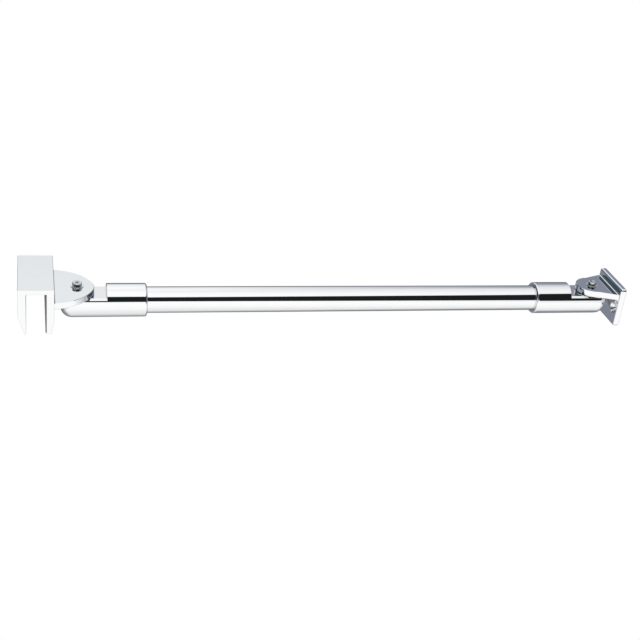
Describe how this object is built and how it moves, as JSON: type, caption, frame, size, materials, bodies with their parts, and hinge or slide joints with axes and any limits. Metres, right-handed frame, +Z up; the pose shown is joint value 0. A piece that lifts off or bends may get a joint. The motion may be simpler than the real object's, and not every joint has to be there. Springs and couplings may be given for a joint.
{
  "type": "glass panel support bar",
  "caption": "Round chrome support bar with a swivelling fork clamp for a glass edge at one end and a swivelling screw-on wall plate at the other.",
  "frame": {"origin": "where the bar's axis meets the wall, on the back face of the wall plate", "axes": "+X into the wall, so the bar runs along -X; +Z up along both pivot screws; +Y to the back"},
  "size_m": [0.4541, 0.054, 0.0371],
  "materials": {
    "tube_chrome": "polished chrome plate on drawn tube",
    "fitting_chrome": "polished chrome plate on turned and milled metal",
    "clamp_chrome": "polished chrome plate on an extruded profile",
    "bracket_chrome": "polished chrome plate on an extruded profile",
    "screw_steel": "bright plated steel",
    "washer_steel": "fine brushed stainless steel",
    "grub_steel": "plain stainless steel",
    "nylon": "natural nylon",
    "pad_rubber": "grey soft rubber sheet"
  },
  "bodies": {
    "wall_plate": {"wall_bracket": "bracket_chrome"},
    "wall_fitting": {"wall_end_fitting": "fitting_chrome", "wall_fitting_grub_screw": "grub_steel", "wall_pivot_screw": "screw_steel", "wall_pivot_washer": "washer_steel", "wall_friction_washer": "nylon"},
    "tube": {"support_tube": "tube_chrome"},
    "clamp_fitting": {"clamp_end_fitting": "fitting_chrome", "clamp_fitting_grub_screw": "grub_steel", "clamp_pivot_screw": "screw_steel", "clamp_pivot_washer": "washer_steel", "clamp_friction_washer": "nylon"},
    "fork": {"glass_clamp": "clamp_chrome", "glass_pad": "pad_rubber"},
    "front_tip": {"front_screw_tip": "nylon"},
    "front_screw": {"front_clamp_screw": "grub_steel"},
    "rear_tip": {"rear_screw_tip": "nylon"},
    "rear_screw": {"rear_clamp_screw": "grub_steel"}
  },
  "joints": [
    {"name": "wall_swivel", "type": "hinge", "parent": "wall_plate", "child": "wall_fitting", "pos_m": [-0.0197, 0, 0.0087], "axis": [0, 0, 1], "range_deg": [-85, 85]},
    {"name": "tube_slide", "type": "slide", "parent": "wall_fitting", "child": "tube", "axis": [-1, 0, 0], "range_m": [0, 0.01]},
    {"name": "clamp_turn", "type": "hinge", "parent": "tube", "child": "clamp_fitting", "pos_m": [-0.377, 0, 0], "axis": [1, 0, 0], "continuous": true},
    {"name": "clamp_swivel", "type": "hinge", "parent": "clamp_fitting", "child": "fork", "pos_m": [-0.4137, 0, 0.0087], "axis": [0, 0, 1], "range_deg": [-70, 70]},
    {"name": "front_tip_travel", "type": "slide", "parent": "fork", "child": "front_tip", "axis": [1, 0, 0], "range_m": [0, 0.003]},
    {"name": "rear_tip_travel", "type": "slide", "parent": "fork", "child": "rear_tip", "axis": [1, 0, 0], "range_m": [0, 0.003]},
    {"name": "front_screw_turn", "type": "hinge", "parent": "front_tip", "child": "front_screw", "pos_m": [-0.45, -0.014, 0.007], "axis": [1, 0, 0], "range_deg": [0, 1080]},
    {"name": "rear_screw_turn", "type": "hinge", "parent": "rear_tip", "child": "rear_screw", "pos_m": [-0.45, 0.014, 0.007], "axis": [1, 0, 0], "range_deg": [0, 1080]}
  ],
  "couplings": [
    {"joint": "front_screw_turn", "follows": "front_tip_travel", "rad_per_m": 6283.2},
    {"joint": "rear_screw_turn", "follows": "rear_tip_travel", "rad_per_m": 6283.2}
  ]
}
